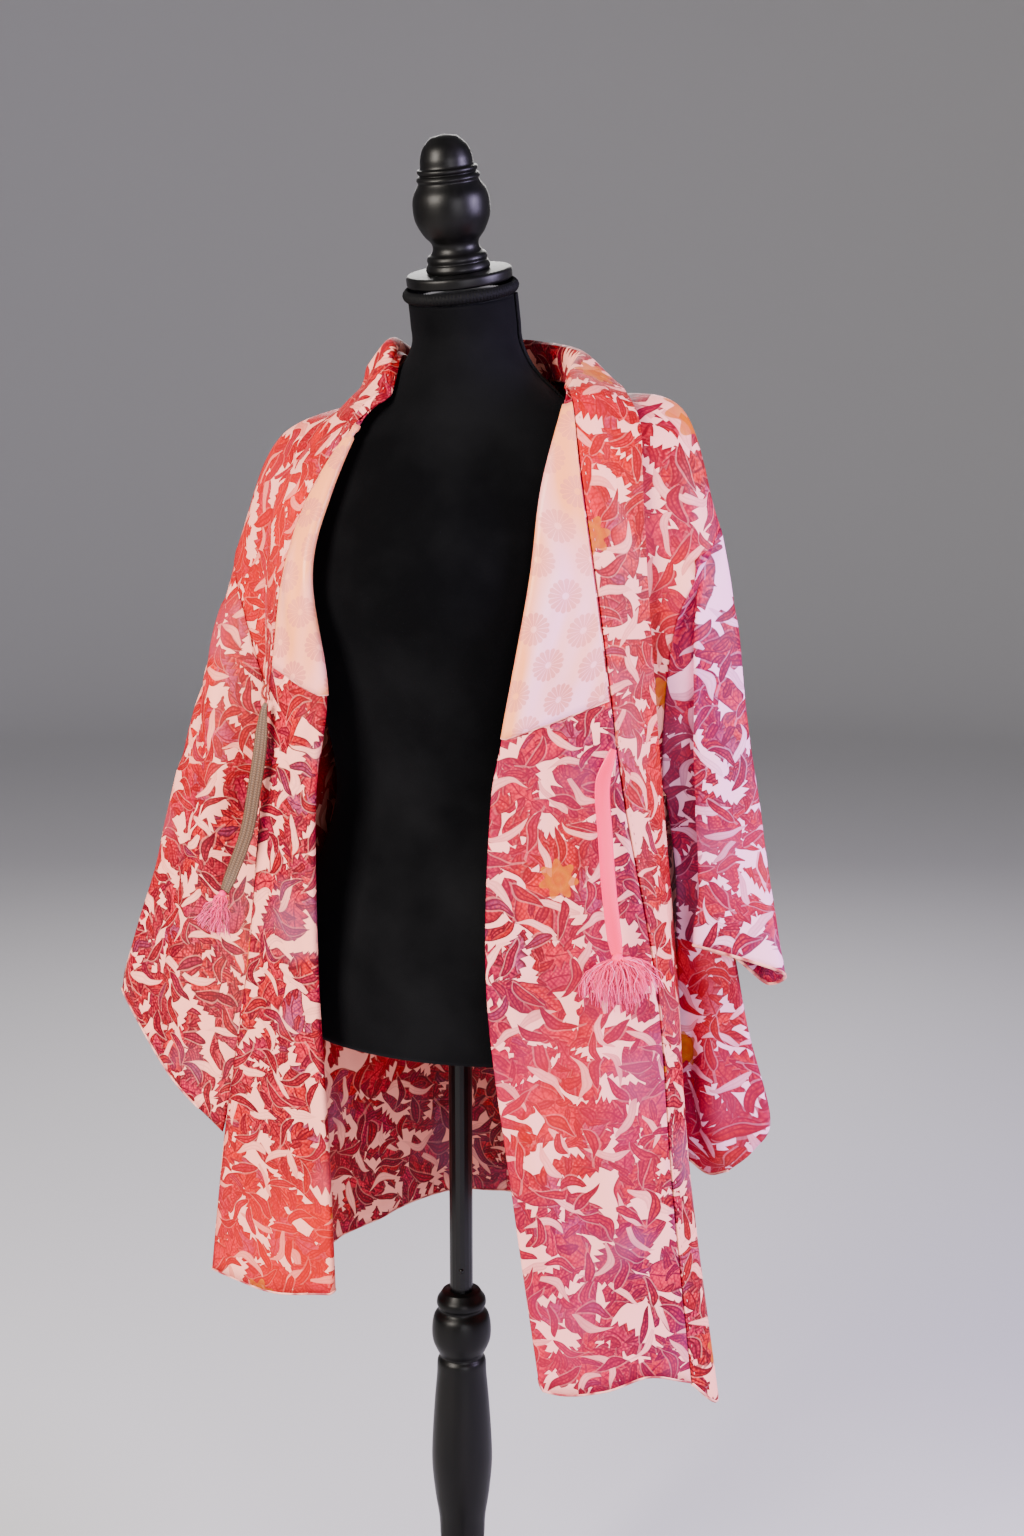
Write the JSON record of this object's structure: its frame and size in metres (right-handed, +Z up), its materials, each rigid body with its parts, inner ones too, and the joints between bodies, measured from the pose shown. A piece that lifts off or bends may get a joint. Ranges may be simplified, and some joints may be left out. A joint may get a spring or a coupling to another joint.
{
  "type": "haori jacket on dress form",
  "caption": "Open-fronted silk haori jacket with turned-back lapels, pouch sleeves and tasselled ties, on a limbless velvet dress form with a turned stand.",
  "frame": {"origin": "bottom centre of the whole, on the floor", "axes": "+Z up; the wearer faces -Y, so the wearer's left side is +X"},
  "size_m": [0.6486, 0.4388, 1.4693],
  "materials": {
    "silk": "printed silk crepe, soft sheen",
    "silk_lining": "figured lining silk, satin",
    "pink_braid": "braided silk",
    "taupe_braid": "braided silk",
    "velvet": "black velvet",
    "black_wood": "satin black lacquer",
    "black_steel": "satin black"
  },
  "bodies": {
    "root": {"body_left": "silk", "body_right": "silk", "gusset_left": "silk", "gusset_right": "silk", "sleeve_left": "silk", "sleeve_right": "silk", "collar_band": "silk", "loop_left": "silk", "loop_right": "silk", "lining_left": "silk_lining", "lining_right": "silk_lining", "tie_left": "pink_braid", "tassel_left": "pink_braid", "tassel_right": "pink_braid", "tie_right": "taupe_braid", "torso": "velvet", "neck_trim": "velvet", "neck_cap": "black_wood", "finial": "black_wood", "stand_column": "black_wood", "stand_hub": "black_wood", "leg_front": "black_wood", "leg_left": "black_wood", "leg_right": "black_wood", "pole": "black_steel", "clamp_block": "black_steel", "clamp_knob": "black_steel"}
  },
  "joints": []
}
